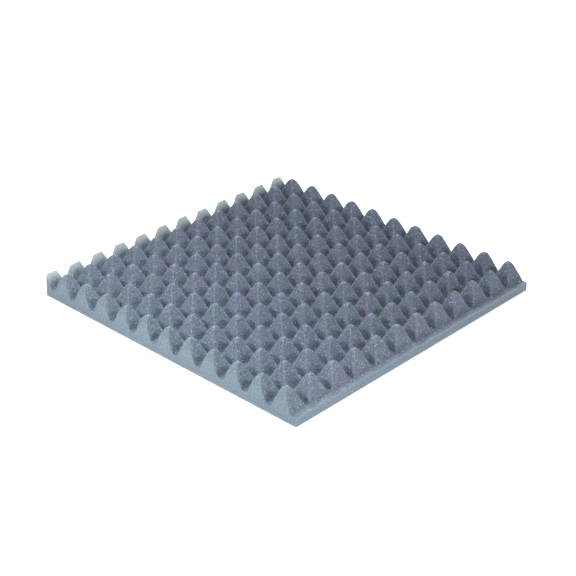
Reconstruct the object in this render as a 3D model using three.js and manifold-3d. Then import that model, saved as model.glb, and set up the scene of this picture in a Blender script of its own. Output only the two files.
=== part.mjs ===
// Self-adhesive acoustic foam tile with a pyramid profile.
//
// The foam is one block: a flat base with a grid of pyramids on it, which are a little wider along X
// than along Y. It is cut from a larger profiled sheet, so its four edges meet the pyramids at
// different places, and the far cut leans in a little. An adhesive film covers its back, and a paper
// liner covers the film until the tile is stuck to a wall.
//
// Lengths are in millimetres and +Z is up. The tile lies on its liner with the pyramids up, and the
// origin is at the middle of the liner's underside.

import * as THREE from "three";
import { mergeVertices } from "three/addons/utils/BufferGeometryUtils.js";
import Module from "manifold-3d";

// The tile
const sideLength = 500;
const foamHeight = 45; // back of the foam to the peaks
const baseHeight = 12.6; // back of the foam to the valley floors
const farCutLean = 3.5; // how far the cut at the far edge has leant in at the height of the peaks

// The pattern of the sheet that the tile is cut from
const pitchX = 43.05;
const pitchY = 43.5;
const firstPeakX = 10.3; // left edge of the tile to its first row of peaks
const firstPeakY = 26.1; // front edge of the tile to its first row of peaks
const peakLeanX = -0.55; // middle of a pyramid's foot to its peak
const peakLeanY = 0.58;

// The layers on the back
const filmThickness = 0.25;
const linerThickness = 0.125;

// How far cutting shapes run past what they cut
const cutOverrun = 5;

// The rings of points that shape one pyramid, from the middle of the valleys up to the peak.
// "outX" and "outY" are shares of half the pitch, "up" is a share of the pyramid's height, and
// "corner" is the share of a ring's half widths that the rounded ridge takes off each corner.
const ringShares = [
  { outX: 1, outY: 1, up: 0, corner: 0 },
  { outX: 0.82, outY: 0.79, up: 0, corner: 0 },
  { outX: 0.6, outY: 0.51, up: 0.39, corner: 0.15 },
  { outX: 0.32, outY: 0.25, up: 0.79, corner: 0.3 },
  { outX: 0.15, outY: 0.1, up: 0.95, corner: 0.4 },
];

const wasm = await Module();
wasm.setup();

const foamMaterial = new THREE.MeshStandardMaterial({ color: 0x6f7a89, roughness: 1, metalness: 0 });
const filmMaterial = new THREE.MeshStandardMaterial({ color: 0xd9dcd6, roughness: 0.5, metalness: 0 });
const linerMaterial = new THREE.MeshStandardMaterial({ color: 0xece7d6, roughness: 0.6, metalness: 0 });

// The numbers of the first and last pyramid rows that reach into the tile, from where the feet of
// row 0 have their middle
function rowsAcrossTile(firstFoot, pitch) {
  return {
    first: Math.floor(1 / 2 - firstFoot / pitch),
    last: Math.ceil((sideLength - firstFoot) / pitch - 1 / 2),
  };
}

// Eight points round one ring, anticlockwise from above. Where the corners are whole, two of them
// meet at each corner.
function ringPoints(peak, share) {
  const halfX = (pitchX / 2) * share.outX;
  const halfY = (pitchY / 2) * share.outY;
  const keptX = halfX * (1 - share.corner);
  const keptY = halfY * (1 - share.corner);
  const height = baseHeight + (foamHeight - baseHeight) * share.up;
  const center = { x: peak.x - peakLeanX * (1 - share.up), y: peak.y - peakLeanY * (1 - share.up) };
  const corners = [
    [halfX, -keptY],
    [halfX, keptY],
    [keptX, halfY],
    [-keptX, halfY],
    [-halfX, keptY],
    [-halfX, -keptY],
    [-keptX, -halfY],
    [keptX, -halfY],
  ];
  return corners.map(([x, y]) => new THREE.Vector3(center.x + x, center.y + y, height));
}

// Adds a four-sided face as triangles, leaving out a triangle that has no area
function addFace(positions, a, b, c, d) {
  for (const corners of [[a, b, c], [a, c, d]]) {
    const [p, q, r] = corners;
    if (p.equals(q) || q.equals(r) || r.equals(p)) {
      continue;
    }
    corners.forEach((point) => positions.push(point.x, point.y, point.z));
  }
}

// The upper surface of one pyramid and the half valleys round it
function addPyramid(positions, peak) {
  const rings = ringShares.map((share) => ringPoints(peak, share));
  for (let level = 0; level + 1 < rings.length; level += 1) {
    const lower = rings[level];
    const upper = rings[level + 1];
    lower.forEach((point, index) => {
      const next = (index + 1) % lower.length;
      addFace(positions, point, lower[next], upper[next], upper[index]);
    });
  }
  const tip = new THREE.Vector3(peak.x, peak.y, foamHeight);
  const top = rings[rings.length - 1];
  top.forEach((point, index) => addFace(positions, point, top[(index + 1) % top.length], tip, tip));
}

// The profiled sheet before the tile is cut from it, closed by walls and an underside that lie
// outside the tile
function profiledSheet() {
  const across = rowsAcrossTile(firstPeakX - peakLeanX, pitchX);
  const along = rowsAcrossTile(firstPeakY - peakLeanY, pitchY);
  const peakX = (column) => firstPeakX + column * pitchX - sideLength / 2;
  const peakY = (row) => firstPeakY + row * pitchY - sideLength / 2;
  // The point where four pyramids meet, before a column and a row
  const meeting = (column, row, height) =>
    new THREE.Vector3(
      peakX(column) - peakLeanX - pitchX / 2,
      peakY(row) - peakLeanY - pitchY / 2,
      height,
    );
  const positions = [];

  for (let column = across.first; column <= across.last; column += 1) {
    for (let row = along.first; row <= along.last; row += 1) {
      addPyramid(positions, { x: peakX(column), y: peakY(row) });
      addFace(
        positions,
        meeting(column, row, -cutOverrun),
        meeting(column, row + 1, -cutOverrun),
        meeting(column + 1, row + 1, -cutOverrun),
        meeting(column + 1, row, -cutOverrun),
      );
    }
  }

  // A wall from one meeting point to the next, with its outer face on the right of that way
  const addWall = (from, to) => {
    addFace(
      positions,
      meeting(...from, -cutOverrun),
      meeting(...to, -cutOverrun),
      meeting(...to, baseHeight),
      meeting(...from, baseHeight),
    );
  };
  for (let column = across.first; column <= across.last; column += 1) {
    addWall([column, along.first], [column + 1, along.first]);
    addWall([column + 1, along.last + 1], [column, along.last + 1]);
  }
  for (let row = along.first; row <= along.last; row += 1) {
    addWall([across.last + 1, row], [across.last + 1, row + 1]);
    addWall([across.first, row + 1], [across.first, row]);
  }

  const sheet = new THREE.BufferGeometry();
  sheet.setAttribute("position", new THREE.Float32BufferAttribute(positions, 3));
  return sheet;
}

// A closed geometry as a solid that can be cut
function solidFrom(geometry) {
  const bare = geometry.clone();
  bare.deleteAttribute("normal");
  bare.deleteAttribute("uv");
  const merged = mergeVertices(bare);
  return new wasm.Manifold(
    new wasm.Mesh({
      numProp: 3,
      vertProperties: new Float32Array(merged.attributes.position.array),
      triVerts: new Uint32Array(merged.index.array),
    }),
  );
}

// The surface of a solid as a geometry
function geometryFrom(solid) {
  const mesh = solid.getMesh();
  const geometry = new THREE.BufferGeometry();
  geometry.setAttribute("position", new THREE.BufferAttribute(mesh.vertProperties, 3));
  geometry.setIndex(new THREE.BufferAttribute(mesh.triVerts, 1));
  geometry.computeVertexNormals();
  return geometry;
}

// The space inside the four cuts that part the tile from the sheet: a section across Y and Z, drawn
// out along X
function spaceInsideCuts() {
  const top = foamHeight + cutOverrun;
  const leanAtTop = (farCutLean * top) / foamHeight;
  const section = new THREE.Shape([
    new THREE.Vector2(-sideLength / 2, 0),
    new THREE.Vector2(sideLength / 2, 0),
    new THREE.Vector2(sideLength / 2 - leanAtTop, top),
    new THREE.Vector2(-sideLength / 2, top),
  ]);
  const space = new THREE.ExtrudeGeometry(section, { depth: sideLength, bevelEnabled: false });
  const alongX = new THREE.Vector3(1, 0, 0);
  const alongY = new THREE.Vector3(0, 1, 0);
  const alongZ = new THREE.Vector3(0, 0, 1);
  space.applyMatrix4(new THREE.Matrix4().makeBasis(alongY, alongZ, alongX));
  space.translate(-sideLength / 2, 0, 0);
  return space;
}

// The foam, with its back at height zero
function foamGeometry() {
  return geometryFrom(solidFrom(profiledSheet()).intersect(solidFrom(spaceInsideCuts())));
}

// A flat layer as wide as the tile, with its underside at a height
function layer(name, thickness, underside, material) {
  const mesh = new THREE.Mesh(new THREE.BoxGeometry(sideLength, sideLength, thickness), material);
  mesh.name = name;
  mesh.position.z = underside + thickness / 2;
  return mesh;
}

const foam = new THREE.Mesh(foamGeometry(), foamMaterial);
foam.name = "foam_panel";
foam.position.z = linerThickness + filmThickness;

const tile = new THREE.Group();
tile.add(foam);
tile.add(layer("adhesive_film", filmThickness, linerThickness, filmMaterial));
tile.add(layer("release_liner", linerThickness, 0, linerMaterial));

export default tile;
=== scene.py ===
# A square acoustic foam tile with a pyramid profile, lying on its back with the pyramids up
import math

import bpy
from mathutils import Matrix, Vector


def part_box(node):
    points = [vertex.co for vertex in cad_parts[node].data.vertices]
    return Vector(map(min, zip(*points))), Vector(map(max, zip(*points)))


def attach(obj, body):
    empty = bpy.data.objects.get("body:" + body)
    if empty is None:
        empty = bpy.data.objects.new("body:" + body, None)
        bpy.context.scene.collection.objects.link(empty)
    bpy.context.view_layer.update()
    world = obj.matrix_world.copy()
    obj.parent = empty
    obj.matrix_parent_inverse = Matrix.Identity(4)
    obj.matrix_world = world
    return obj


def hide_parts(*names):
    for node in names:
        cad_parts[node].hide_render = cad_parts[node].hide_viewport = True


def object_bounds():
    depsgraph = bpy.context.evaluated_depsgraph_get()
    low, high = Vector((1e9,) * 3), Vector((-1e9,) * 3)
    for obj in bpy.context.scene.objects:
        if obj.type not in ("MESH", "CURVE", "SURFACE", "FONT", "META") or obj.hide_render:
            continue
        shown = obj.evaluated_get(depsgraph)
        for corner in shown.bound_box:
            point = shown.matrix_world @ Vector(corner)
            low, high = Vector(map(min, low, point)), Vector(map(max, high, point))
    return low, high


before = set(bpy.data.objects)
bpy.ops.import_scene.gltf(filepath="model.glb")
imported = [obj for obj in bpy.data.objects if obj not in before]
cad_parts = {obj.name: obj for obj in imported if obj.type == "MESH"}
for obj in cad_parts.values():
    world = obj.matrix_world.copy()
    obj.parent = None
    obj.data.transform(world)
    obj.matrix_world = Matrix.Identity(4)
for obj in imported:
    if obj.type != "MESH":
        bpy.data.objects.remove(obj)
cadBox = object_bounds()
foamLow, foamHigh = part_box("foam_panel")
hair = 1e-6  # metres, two places closer than this count as one
print("frame loaded")


# Camera
camera = {
    "azimuth": -46.755,  # degrees, 0 looks along +Y
    "elevation": 28.209,
    "roll": 0.224,
    "distance": 2.02077,
    "target": (0.01112, 0.0098, 0.0),
    "lens": 85.105,
    "sensor": 36.0,
    "clip": (0.05, 50),
}


def lookFrom(azimuth, elevation, roll=0):
    # turns what points straight down, as a new camera or lamp does
    return (
        Matrix.Rotation(math.radians(azimuth), 4, "Z")
        @ Matrix.Rotation(math.radians(90 - elevation), 4, "X")
        @ Matrix.Rotation(math.radians(roll), 4, "Z")
    )


def makeCamera():
    data = bpy.data.cameras.new("photo_camera")
    data.lens = camera["lens"]
    data.sensor_width = camera["sensor"]
    data.clip_start, data.clip_end = camera["clip"]
    cameraObject = bpy.data.objects.new("photo_camera", data)
    bpy.context.scene.collection.objects.link(cameraObject)
    turned = lookFrom(camera["azimuth"], camera["elevation"], camera["roll"])
    movedBack = Matrix.Translation((0, 0, camera["distance"]))
    cameraObject.matrix_world = Matrix.Translation(camera["target"]) @ turned @ movedBack
    bpy.context.scene.camera = cameraObject


makeCamera()
print("camera placed")


# Small helpers for modelling as by hand
def deselectAll():
    if bpy.context.object and bpy.context.object.mode != "OBJECT":
        bpy.ops.object.mode_set(mode="OBJECT")
    bpy.ops.object.select_all(action="DESELECT")


def selectEdges(piece, test):
    # leaves the piece in edit mode with only the edges that pass the test selected
    bpy.ops.mesh.select_mode(type="EDGE")
    bpy.ops.mesh.select_all(action="DESELECT")
    bpy.ops.object.mode_set(mode="OBJECT")
    points = piece.data.vertices
    for edge in piece.data.edges:
        edge.select = test(points[edge.vertices[0]].co, points[edge.vertices[1]].co)
    bpy.ops.object.mode_set(mode="EDIT")


def applyModifiers(piece):
    for modifier in list(piece.modifiers):
        bpy.ops.object.modifier_apply(modifier=modifier.name)


# The foam: a sheet of pyramids, cut to the tile and closed down to its back
foam = {
    "pitch": (0.04305, 0.0435),  # between peaks, along X and along Y
    "firstPeak": (0.0103, 0.0261),  # from the tile's left and front edges
    "peakLean": (-0.00055, 0.00058),  # how far the peaks stand from the middle of their feet
    "baseHeight": 0.0126,  # from the back to the valley floors
    "farCutLean": 0.0035,  # how far the far cut has leant in at the height of the peaks
    # from the middle of a valley up to the top: how far each ring of edges goes in along X,
    # in along Y, and up
    "rings": [
        (0.0033, 0.00455, 0.0),
        (0.0026, 0.0034, 0.0060),
        (0.0081, 0.0079, 0.0200),
        (0.0034, 0.0028, 0.0047),
        (0.0021, 0.0015, 0.0009),
    ],
    "ridgeCrease": 0.6,
    "smoothing": 2,
    "smoothAngle": 38,
}

# Unevenness of the cut sheet: scale is the size of its lumps, and what goes by height grows from
# nothing at the valley floors
unevenness = [
    {"name": "leanX", "direction": "X", "scale": 0.045, "strength": 0.0030, "byHeight": True},
    {"name": "leanY", "direction": "Y", "scale": 0.052, "strength": 0.0030, "byHeight": True},
    {"name": "rise", "direction": "Z", "scale": 0.070, "strength": 0.0022, "byHeight": True},
    {"name": "lumps", "direction": "NORMAL", "scale": 0.007, "strength": 0.0007, "byHeight": False},
]

valleyFloor = foamLow.z + foam["baseHeight"]


def sheetAlong(axis):
    # how many pyramids reach into the tile along an axis, and where their sheet starts and ends
    pitch = foam["pitch"][axis]
    side = foamHigh[axis] - foamLow[axis]
    firstFoot = foam["firstPeak"][axis] - foam["peakLean"][axis]
    first = math.floor(0.5 - firstFoot / pitch)
    last = math.ceil((side - firstFoot) / pitch - 0.5)
    foot = foamLow[axis] + firstFoot
    return last - first + 1, foot + (first - 0.5) * pitch, foot + (last + 0.5) * pitch


def makeFoamGrid():
    countX, startX, endX = sheetAlong(0)
    countY, startY, endY = sheetAlong(1)
    deselectAll()
    bpy.ops.mesh.primitive_grid_add(
        x_subdivisions=countX,
        y_subdivisions=countY,
        size=1,
        location=((startX + endX) / 2, (startY + endY) / 2, valleyFloor),
    )
    piece = bpy.context.object
    piece.name = "pyramid_foam"
    piece.scale = (endX - startX, endY - startY, 1)
    bpy.ops.object.transform_apply(location=True, rotation=True, scale=True)
    return piece


def scaleAlongY(piece, share):
    bpy.ops.object.mode_set(mode="OBJECT")
    piece.scale = (1, share, 1)
    bpy.ops.object.transform_apply(location=False, rotation=False, scale=True)
    bpy.ops.object.mode_set(mode="EDIT")


def isRidge(a, b):
    return abs(a.x - b.x) > hair and abs(a.y - b.y) > hair


def isLevel(a, b):
    return abs(a.z - b.z) < hair and not isRidge(a, b)


def raisePyramids(piece):
    bpy.ops.object.mode_set(mode="EDIT")
    bpy.ops.mesh.select_mode(type="FACE")
    bpy.ops.mesh.select_all(action="SELECT")
    for alongX, alongY, upwards in foam["rings"]:
        # an inset goes in as far both ways, so the mesh is scaled along Y while it is made
        scaleAlongY(piece, alongX / alongY)
        bpy.ops.mesh.inset(thickness=alongX, depth=upwards, use_individual=True)
        scaleAlongY(piece, alongY / alongX)
    # the ridges stay a little sharp, and each level edge gets a point in its middle
    selectEdges(piece, isRidge)
    bpy.ops.transform.edge_crease(value=foam["ridgeCrease"])
    selectEdges(piece, isLevel)
    bpy.ops.mesh.subdivide(number_cuts=1)
    bpy.ops.object.mode_set(mode="OBJECT")
    smoothed = piece.modifiers.new("smoothing", "SUBSURF")
    smoothed.levels = foam["smoothing"]
    smoothed.render_levels = foam["smoothing"]
    applyModifiers(piece)


def displace(piece, name, direction, strength, middle):
    modifier = piece.modifiers.new(name, "DISPLACE")
    modifier.direction = direction
    modifier.strength = strength
    modifier.mid_level = middle
    return modifier


def makeUneven(piece):
    group = piece.vertex_groups.new(name="height")
    for point in piece.data.vertices:
        share = (point.co.z - valleyFloor) / (foamHigh.z - valleyFloor)
        group.add([point.index], min(max(share, 0), 1), "REPLACE")
    for kind in unevenness:
        texture = bpy.data.textures.new(kind["name"], "CLOUDS")
        texture.noise_scale = kind["scale"]
        texture.noise_depth = 1
        modifier = displace(piece, kind["name"], kind["direction"], kind["strength"], 0.5)
        modifier.texture = texture
        modifier.texture_coords = "LOCAL"
        if kind["byHeight"]:
            modifier.vertex_group = group.name
    for direction, lean in zip("XY", foam["peakLean"]):
        modifier = displace(piece, "slant" + direction, direction, lean, 0)
        modifier.vertex_group = group.name
    applyModifiers(piece)
    piece.vertex_groups.clear()


def sideCuts():
    # each as a point on it and the way out of the tile
    farWay = Vector((0, foamHigh.z - foamLow.z, foam["farCutLean"])).normalized()
    return [
        (foamLow, Vector((-1, 0, 0))),
        (foamHigh, Vector((1, 0, 0))),
        (foamLow, Vector((0, -1, 0))),
        (Vector((0, foamHigh.y, foamLow.z)), farWay),
    ]


def cutTile(piece):
    bpy.ops.object.mode_set(mode="EDIT")
    for corner, outwards in sideCuts():
        bpy.ops.mesh.select_all(action="SELECT")
        bpy.ops.mesh.bisect(plane_co=corner, plane_no=outwards, clear_outer=True, threshold=hair)
    bpy.ops.mesh.select_mode(type="EDGE")
    bpy.ops.mesh.select_all(action="DESELECT")
    bpy.ops.mesh.select_non_manifold()
    bpy.ops.mesh.extrude_region_move()
    bpy.ops.transform.resize(value=(1, 1, 0), center_override=(0, 0, foamLow.z))
    bpy.ops.mesh.edge_face_add()
    # the walls go straight down, so the far edge of the back is moved out to the foot of its cut
    moreThanLean = 1.01
    farZone = foamHigh.y - moreThanLean * foam["farCutLean"]
    backTop = foamLow.z + hair
    selectEdges(piece, lambda a, b: min(a.y, b.y) > farZone and max(a.z, b.z) < backTop)
    bpy.ops.transform.resize(value=(1, 0, 1), center_override=(0, foamHigh.y, 0))
    bpy.ops.mesh.select_all(action="SELECT")
    bpy.ops.mesh.normals_make_consistent(inside=False)
    bpy.ops.object.mode_set(mode="OBJECT")
    bpy.ops.object.shade_smooth_by_angle(angle=math.radians(foam["smoothAngle"]))


# Small helpers for materials
def addNode(tree, kind, **settings):
    node = tree.nodes.new(kind)
    for name, value in settings.items():
        if name in node.inputs:
            node.inputs[name].default_value = value
        else:
            setattr(node, name, value)
    return node


def startMaterial(name):
    material = bpy.data.materials.new(name)
    material.use_nodes = True
    tree = material.node_tree
    tree.nodes.clear()
    shader = addNode(tree, "ShaderNodeBsdfPrincipled")
    output = addNode(tree, "ShaderNodeOutputMaterial")
    tree.links.new(shader.outputs["BSDF"], output.inputs["Surface"])
    place = addNode(tree, "ShaderNodeTexCoord").outputs["Object"]
    return material, tree, shader, place


def setSockets(shader, values):
    for name, value in values.items():
        shader.inputs[name].default_value = value


def splitPlace(tree, place):
    node = addNode(tree, "ShaderNodeSeparateXYZ")
    tree.links.new(place, node.inputs["Vector"])
    return node.outputs


def noiseFrom(tree, place, scale, detail=2.0):
    node = addNode(tree, "ShaderNodeTexNoise", Scale=scale, Detail=detail)
    tree.links.new(place, node.inputs["Vector"])
    return node.outputs["Fac"]


def cellsFrom(tree, place, scale):
    node = addNode(tree, "ShaderNodeTexVoronoi", Scale=scale)
    tree.links.new(place, node.inputs["Vector"])
    return node.outputs


def spread(tree, value, low, high, newLow=0.0, newHigh=1.0):
    node = addNode(tree, "ShaderNodeMapRange", interpolation_type="SMOOTHSTEP")
    node.inputs["From Min"].default_value = low
    node.inputs["From Max"].default_value = high
    node.inputs["To Min"].default_value = newLow
    node.inputs["To Max"].default_value = newHigh
    tree.links.new(value, node.inputs["Value"])
    return node.outputs["Result"]


def combine(tree, operation, first, second):
    node = addNode(tree, "ShaderNodeMath", operation=operation)
    for socket, value in zip(node.inputs, (first, second)):
        if isinstance(value, (int, float)):
            socket.default_value = value
        else:
            tree.links.new(value, socket)
    return node.outputs["Value"]


def multiply(tree, first, *others):
    result = first
    for other in others:
        result = combine(tree, "MULTIPLY", result, other)
    return result


def mixColors(tree, share, first, second):
    node = addNode(tree, "ShaderNodeMix", data_type="RGBA")
    # a mix of colours has its share and its two colours in these sockets
    for index, value in ((0, share), (6, first), (7, second)):
        if isinstance(value, tuple):
            node.inputs[index].default_value = (*value, 1)
        else:
            tree.links.new(value, node.inputs[index])
    return node.outputs[2]


def scaleColor(tree, color, share):
    node = addNode(tree, "ShaderNodeVectorMath", operation="SCALE")
    tree.links.new(color, node.inputs["Vector"])
    tree.links.new(share, node.inputs["Scale"])
    return node.outputs["Vector"]


def bumpFrom(tree, height, strength, distance):
    node = addNode(tree, "ShaderNodeBump", Strength=strength, Distance=distance)
    tree.links.new(height, node.inputs["Height"])
    return node.outputs["Normal"]


# What the two finishes of the foam share
foamShader = {
    "Specular IOR Level": 0.25,
    "Subsurface Weight": 0.15,
    "Subsurface Radius": (0.9, 1.0, 1.1),
    "Subsurface Scale": 0.004,
}

# painted glints: small bright dots where cell walls catch the light
paintedGlints = {
    "color": (0.85, 0.90, 1.0),
    "scale": 370.0,
    "softEdge": 1.7,  # a glint has faded at this many times its size
    "faintest": 0.25,
}

grainSpread = (0.35, 0.65)  # the noise values from which and up to which fine grain shows


def acrossTile(tree, parts, tones):
    # a painted tone of light that goes from the tile's left edge to its right edge
    return spread(tree, parts["X"], foamLow.x, foamHigh.x, *tones)


def poresFrom(tree, place, look):
    distance = cellsFrom(tree, place, look["poreScale"])["Distance"]
    return spread(tree, distance, *look["poreEdge"], 1.0, 0.0)


# painted glints over the colour
def addPaintedGlints(tree, place, color, look):
    cells = cellsFrom(tree, place, paintedGlints["scale"])
    draws = addNode(tree, "ShaderNodeSeparateColor")
    tree.links.new(cells["Color"], draws.inputs["Color"])
    size = look["glintSize"]
    near = spread(tree, cells["Distance"], size, size * paintedGlints["softEdge"], 1.0, 0.0)
    chosen = combine(tree, "LESS_THAN", draws.outputs["Red"], look["glintShare"])
    glint = spread(tree, draws.outputs["Green"], 0, 1, paintedGlints["faintest"], 1.0)
    return mixColors(tree, multiply(tree, near, chosen, glint), color, paintedGlints["color"])


def finishFoam(tree, shader, color, grain, pores, look):
    tree.links.new(color, shader.inputs["Base Color"])
    height = combine(tree, "SUBTRACT", grain, multiply(tree, pores, look["poreDepth"]))
    normal = bumpFrom(tree, height, look["bumpStrength"], look["bump"])
    tree.links.new(normal, shader.inputs["Normal"])
    setSockets(shader, foamShader)
    setSockets(shader, look["shader"])


# The open cells on the pyramids
pyramidFinish = {
    "slate": (0.199, 0.241, 0.321),
    "violet": (0.206, 0.235, 0.329),
    "green": (0.192, 0.247, 0.307),
    "patchScale": 22.0,
    "patchSpread": (0.38, 0.62),  # the noise values between which slate turns to violet
    "tintScale": 37.4,
    "tintDetail": 1.0,
    "tintSpread": (0.42, 0.66),  # and between which either turns to green
    "greenEdge": 0.10,  # how far the greener tint reaches in from the left cut
    "grainScale": 420.0,
    "grainTone": (0.77, 1.25),
    "paintedFalloff": (1.06, 0.85),  # painted falloff of light: tone at the left and right edges
    "valleyShade": (0.92, 0.64),  # painted shade on the valley floors at the left and right edges
    "valleyRise": 0.012,  # height over which that tone fades
    "openFront": 0.012,  # width along the front edge over which it fades too
    "pore": (0.076, 0.090, 0.118),
    "poreScale": 640.0,
    "poreEdge": (0.15, 0.5),
    "poreShare": 0.6,
    "poreDepth": 0.6,
    "skin": (0.210, 0.269, 0.315),  # the flanks above the left cut: a smoother skin, painted paler where no neighbour shades them
    "skinShare": 0.75,
    "skinSlope": 1.35,  # how fast a flank widens towards the cut
    "skinEdge": (-0.007, 0.005),  # distances from a flank's ridge over which it sets in
    "skinReach": 0.004,  # how far past the peaks it fades
    # painted highlight along the sharp ridges and tips
    "ridge": (0.62, 0.72, 0.82),
    "ridgeEdge": (0.51, 0.57),  # how sharp an edge has to be, where 0.5 is flat
    "ridgeShare": 0.11,
    "rim": (0.52, 0.61, 0.58),  # painted light on the thin tops along the far cut
    "rimWidth": 0.021,
    "rimHeights": (0.003, 0.024),  # above the valley floors
    "glintSize": 0.16,
    "glintShare": 0.42,
    "bump": 0.0009,
    "bumpStrength": 0.7,
    "shader": {"Roughness": 0.95, "Sheen Weight": 0.12, "Sheen Roughness": 0.6},
}


def foamTint(tree, place, parts, look):
    patches = spread(tree, noiseFrom(tree, place, look["patchScale"]), *look["patchSpread"])
    tintNoise = noiseFrom(tree, place, look["tintScale"], look["tintDetail"])
    tints = spread(tree, tintNoise, *look["tintSpread"])
    greenSide = spread(tree, parts["X"], foamLow.x, foamLow.x + look["greenEdge"], 1.0, 0.0)
    color = mixColors(tree, patches, look["slate"], look["violet"])
    return mixColors(tree, combine(tree, "MAXIMUM", tints, greenSide), color, look["green"])


def paintedValleyShade(tree, parts, look):
    # painted shade down in the valleys, deeper towards the right edge, but not where the front cut
    # leaves one open to the light
    floorTone = acrossTile(tree, parts, look["valleyShade"])
    raised = spread(tree, parts["Z"], valleyFloor, valleyFloor + look["valleyRise"])
    openFront = spread(tree, parts["Y"], foamLow.y, foamLow.y + look["openFront"], 1.0, 0.0)
    inLight = combine(tree, "MAXIMUM", raised, openFront)
    gain = multiply(tree, inLight, combine(tree, "SUBTRACT", 1.0, floorTone))
    return combine(tree, "ADD", floorTone, gain)


def smoothLitFlanks(tree, parts, look):
    # the first column's flanks have a smoother skin like the cut, painted paler where no neighbour
    # shades them, and fade softly over their ridges
    firstX = foamLow.x + foam["firstPeak"][0]
    firstY = foamLow.y + foam["firstPeak"][1]
    fromPeaks = combine(tree, "SUBTRACT", parts["Y"], firstY)
    aside = combine(tree, "PINGPONG", fromPeaks, foam["pitch"][1] / 2)
    inwards = combine(tree, "SUBTRACT", parts["X"], firstX)
    width = multiply(tree, inwards, -look["skinSlope"])
    onFlank = spread(tree, combine(tree, "SUBTRACT", width, aside), *look["skinEdge"])
    nearCut = spread(tree, inwards, 0.0, look["skinReach"], 1.0, 0.0)
    return multiply(tree, onFlank, nearCut, look["skinShare"])


# painted highlight along the sharp ridges and tips, taken from how sharp the surface is
def ridgeHighlights(tree, look):
    sharpness = addNode(tree, "ShaderNodeNewGeometry").outputs["Pointiness"]
    return multiply(tree, spread(tree, sharpness, *look["ridgeEdge"]), look["ridgeShare"])


# painted light on the thin tops along the far cut
def paintedRimLight(tree, parts, look):
    rimEnd = foamHigh.y - foam["farCutLean"]
    low, high = look["rimHeights"]
    nearFar = spread(tree, parts["Y"], foamHigh.y - look["rimWidth"], rimEnd)
    raised = spread(tree, parts["Z"], valleyFloor + low, valleyFloor + high)
    return multiply(tree, nearFar, raised)


def makePyramidMaterial():
    look = pyramidFinish
    material, tree, shader, place = startMaterial("open_cell_foam")
    parts = splitPlace(tree, place)
    grain = noiseFrom(tree, place, look["grainScale"])
    shade = spread(tree, grain, *grainSpread, *look["grainTone"])
    # painted falloff of light: lighter at the left edge and darker at the right
    paintedFalloff = acrossTile(tree, parts, look["paintedFalloff"])
    # the grain's tone times the painted valley shade and the painted falloff of light
    tone = multiply(tree, shade, paintedValleyShade(tree, parts, look), paintedFalloff)
    color = scaleColor(tree, foamTint(tree, place, parts, look), tone)
    pores = poresFrom(tree, place, look)
    color = mixColors(tree, multiply(tree, pores, look["poreShare"]), color, look["pore"])
    color = mixColors(tree, smoothLitFlanks(tree, parts, look), color, look["skin"])
    color = mixColors(tree, ridgeHighlights(tree, look), color, look["ridge"])
    color = mixColors(tree, paintedRimLight(tree, parts, look), color, look["rim"])
    color = addPaintedGlints(tree, place, color, look)
    finishFoam(tree, shader, color, grain, pores, look)
    return material


# The four cuts and the back, smoother and paler than the pyramids
cutFinish = {
    "face": (0.237, 0.304, 0.360),
    # the front face, painted paler as it takes more light
    "litFrontFace": (0.265, 0.333, 0.401),
    "frontDepth": 0.001,  # how far the front face's painted extra light reaches in
    "streak": (0.226, 0.290, 0.344),
    "streakScale": 260.0,
    "streakStretch": (1, 1, 0.06),
    "streakShare": 0.5,
    "grainScale": 380.0,
    "grainTone": (0.86, 1.13),
    "paintedFalloff": (1.03, 0.95),  # painted falloff of light: tone at the left and right edges
    "pore": (0.155, 0.197, 0.235),
    "poreScale": 900.0,
    "poreEdge": (0.1, 0.45),
    "poreShare": 0.3,
    "poreDepth": 0.5,
    "edge": (0.40, 0.49, 0.56),  # painted light in thin pale lines along the edges
    "topWidth": 0.002,
    "topShare": 0.2,
    "bottomWidth": 0.0045,
    "bottomShare": 0.45,
    "glintSize": 0.14,
    "glintShare": 0.20,
    "bump": 0.0003,
    "bumpStrength": 0.5,
    "shader": {"Roughness": 0.9},
}


def knifeStreaks(tree, place, look):
    stretched = addNode(tree, "ShaderNodeMapping", Scale=look["streakStretch"])
    tree.links.new(place, stretched.inputs["Vector"])
    noise = noiseFrom(tree, stretched.outputs["Vector"], look["streakScale"])
    return multiply(tree, spread(tree, noise, *grainSpread), look["streakShare"])


def paintedEdgeLight(tree, parts, onFront, look):
    # painted light: one line along the top of the front cut, and one along the bottom of every cut
    lineTop = foamLow.z + look["bottomWidth"]
    top = spread(tree, parts["Z"], valleyFloor - look["topWidth"], valleyFloor)
    bottom = spread(tree, parts["Z"], foamLow.z, lineTop, look["bottomShare"], 0.0)
    return combine(tree, "MAXIMUM", multiply(tree, top, onFront, look["topShare"]), bottom)


def makeCutMaterial():
    look = cutFinish
    material, tree, shader, place = startMaterial("cut_foam")
    parts = splitPlace(tree, place)
    onFront = combine(tree, "LESS_THAN", parts["Y"], foamLow.y + look["frontDepth"])
    color = mixColors(tree, onFront, look["face"], look["litFrontFace"])
    color = mixColors(tree, knifeStreaks(tree, place, look), color, look["streak"])
    grain = noiseFrom(tree, place, look["grainScale"])
    shade = spread(tree, grain, *grainSpread, *look["grainTone"])
    # painted falloff of light: lighter at the left edge and darker at the right
    paintedFalloff = acrossTile(tree, parts, look["paintedFalloff"])
    color = scaleColor(tree, color, multiply(tree, shade, paintedFalloff))
    pores = poresFrom(tree, place, look)
    color = mixColors(tree, multiply(tree, pores, look["poreShare"]), color, look["pore"])
    color = mixColors(tree, paintedEdgeLight(tree, parts, onFront, look), color, look["edge"])
    color = addPaintedGlints(tree, place, color, look)
    finishFoam(tree, shader, color, grain, pores, look)
    return material


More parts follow.
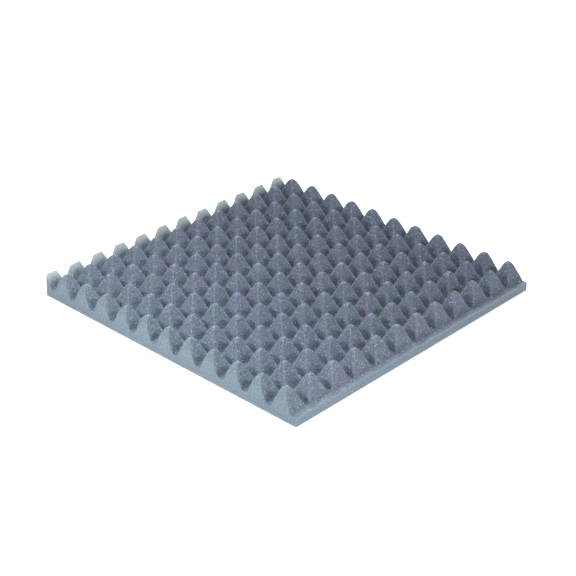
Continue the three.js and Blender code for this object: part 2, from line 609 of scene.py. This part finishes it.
def makeFoam():
    piece = makeFoamGrid()
    raisePyramids(piece)
    makeUneven(piece)
    cutTile(piece)
    piece.data.materials.append(makePyramidMaterial())
    piece.data.materials.append(makeCutMaterial())
    flatFaces = sideCuts() + [(foamLow, Vector((0, 0, -1)))]
    reach = 10 * hair
    for face in piece.data.polygons:
        isFlat = any(abs((face.center - corner).dot(way)) < reach for corner, way in flatFaces)
        face.material_index = 1 if isFlat else 0
    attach(piece, "root")
    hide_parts("foam_panel")
    print("foam made,", len(piece.data.polygons), "faces")


makeFoam()


# The two layers on the back keep their CAD shape
layerPatches = (0.3, 0.7)  # the noise values between which their colours change

filmFinish = {
    "dull": (0.66, 0.68, 0.64),
    "pale": (0.74, 0.75, 0.71),
    "patchScale": 14.0,
    "rippleScale": 90.0,
    "detail": 3.0,
    "bump": 0.0002,
    "bumpStrength": 0.3,
    "roughness": 0.35,
}

linerFinish = {
    "dull": (0.80, 0.76, 0.65),
    "pale": (0.84, 0.81, 0.71),
    "fleck": (0.66, 0.61, 0.50),
    "patchScale": 9.0,
    "fiberScale": 900.0,
    "fleckSpread": (0.6, 0.75),
    "fleckShare": 0.4,
    "bump": 0.00005,
    "bumpStrength": 0.25,
    "roughness": 0.45,
}


def finishLayer(name, material):
    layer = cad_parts[name]
    layer.data.materials.clear()
    layer.data.materials.append(material)


def makeFilmMaterial():
    look = filmFinish
    material, tree, shader, place = startMaterial("adhesive_film")
    patches = spread(tree, noiseFrom(tree, place, look["patchScale"], look["detail"]), *layerPatches)
    color = mixColors(tree, patches, look["dull"], look["pale"])
    tree.links.new(color, shader.inputs["Base Color"])
    ripples = noiseFrom(tree, place, look["rippleScale"], look["detail"])
    normal = bumpFrom(tree, ripples, look["bumpStrength"], look["bump"])
    tree.links.new(normal, shader.inputs["Normal"])
    setSockets(shader, {"Roughness": look["roughness"]})
    return material


def makeLinerMaterial():
    look = linerFinish
    material, tree, shader, place = startMaterial("liner_paper")
    patches = spread(tree, noiseFrom(tree, place, look["patchScale"]), *layerPatches)
    color = mixColors(tree, patches, look["dull"], look["pale"])
    fibers = noiseFrom(tree, place, look["fiberScale"])
    flecks = multiply(tree, spread(tree, fibers, *look["fleckSpread"]), look["fleckShare"])
    color = mixColors(tree, flecks, color, look["fleck"])
    tree.links.new(color, shader.inputs["Base Color"])
    normal = bumpFrom(tree, fibers, look["bumpStrength"], look["bump"])
    tree.links.new(normal, shader.inputs["Normal"])
    setSockets(shader, {"Roughness": look["roughness"]})
    return material


finishLayer("adhesive_film", makeFilmMaterial())
finishLayer("release_liner", makeLinerMaterial())
print("layers finished")


# Floor, world and lamps
studio = {
    "floorSide": 12.0,
    "floorGap": 0.0002,  # below the liner
    "floorColor": (0.86, 0.87, 0.88),
    "worldStrength": 0.015,
    "floorGlow": 0.6,
    "whiteFrom": (0.9, 2.0),  # distances from the tile over which the floor turns plain white
}

# azimuth and elevation as the camera's, distance from the middle of the tile, power in watts
lamps = [
    {"name": "leftFront", "azimuth": -78, "elevation": 33, "distance": 0.9, "size": 0.12, "power": 2.5},
    {"name": "leftBack", "azimuth": -106, "elevation": 33, "distance": 0.9, "size": 0.12, "power": 1.65},
    {"name": "front", "azimuth": -25, "elevation": 35, "distance": 0.9, "size": 0.22, "power": 0.9},
    {"name": "right", "azimuth": -2, "elevation": 35, "distance": 4.0, "size": 1.2, "power": 59},
    {"name": "back", "azimuth": 133, "elevation": 35, "distance": 3.0, "size": 1.65, "power": 43.3},
    {"name": "top", "azimuth": 133, "elevation": 62, "distance": 3.0, "size": 1.65, "power": 59},
]


def seenDirectly(tree):
    path = addNode(tree, "ShaderNodeLightPath").outputs
    seen = combine(tree, "MAXIMUM", path["Is Camera Ray"], path["Is Glossy Ray"])
    return combine(tree, "MAXIMUM", seen, path["Is Transmission Ray"])


def makeWorld():
    world = bpy.data.worlds.new("studio")
    bpy.context.scene.world = world
    world.use_nodes = True
    tree = world.node_tree
    background = tree.nodes["Background"]
    background.inputs["Color"].default_value = (1, 1, 1, 1)
    strength = spread(tree, seenDirectly(tree), 0, 1, studio["worldStrength"], 1.0)
    tree.links.new(strength, background.inputs["Strength"])


def makeFloorMaterial():
    material, tree, shader, place = startMaterial("white_floor")
    color = (*studio["floorColor"], 1)
    setSockets(shader, {"Base Color": color, "Roughness": 1.0, "Specular IOR Level": 0.0})
    away = addNode(tree, "ShaderNodeVectorMath", operation="LENGTH")
    tree.links.new(place, away.inputs["Vector"])
    white = spread(tree, away.outputs["Value"], *studio["whiteFrom"], studio["floorGlow"], 1.0)
    glow = addNode(tree, "ShaderNodeEmission", Color=(1, 1, 1, 1))
    tree.links.new(multiply(tree, seenDirectly(tree), white), glow.inputs["Strength"])
    both = addNode(tree, "ShaderNodeAddShader")
    tree.links.new(shader.outputs["BSDF"], both.inputs[0])
    tree.links.new(glow.outputs["Emission"], both.inputs[1])
    output = next(node for node in tree.nodes if node.type == "OUTPUT_MATERIAL")
    tree.links.new(both.outputs["Shader"], output.inputs["Surface"])
    return material


def makeFloor():
    deselectAll()
    height = cadBox[0].z - studio["floorGap"]
    bpy.ops.mesh.primitive_plane_add(size=studio["floorSide"], location=(0, 0, height))
    floor = bpy.context.object
    floor.name = "floor"
    bpy.ops.object.transform_apply(location=True, rotation=True, scale=True)
    floor.data.materials.append(makeFloorMaterial())


def makeLamps():
    for lamp in lamps:
        data = bpy.data.lights.new(lamp["name"], "AREA")
        data.shape = "DISK"
        data.size = lamp["size"]
        data.energy = lamp["power"]
        lampObject = bpy.data.objects.new(lamp["name"], data)
        bpy.context.scene.collection.objects.link(lampObject)
        movedBack = Matrix.Translation((0, 0, lamp["distance"]))
        lampObject.matrix_world = lookFrom(lamp["azimuth"], lamp["elevation"]) @ movedBack


makeWorld()
makeFloor()
makeLamps()
bpy.context.scene.view_settings.view_transform = "Standard"
print("studio made")
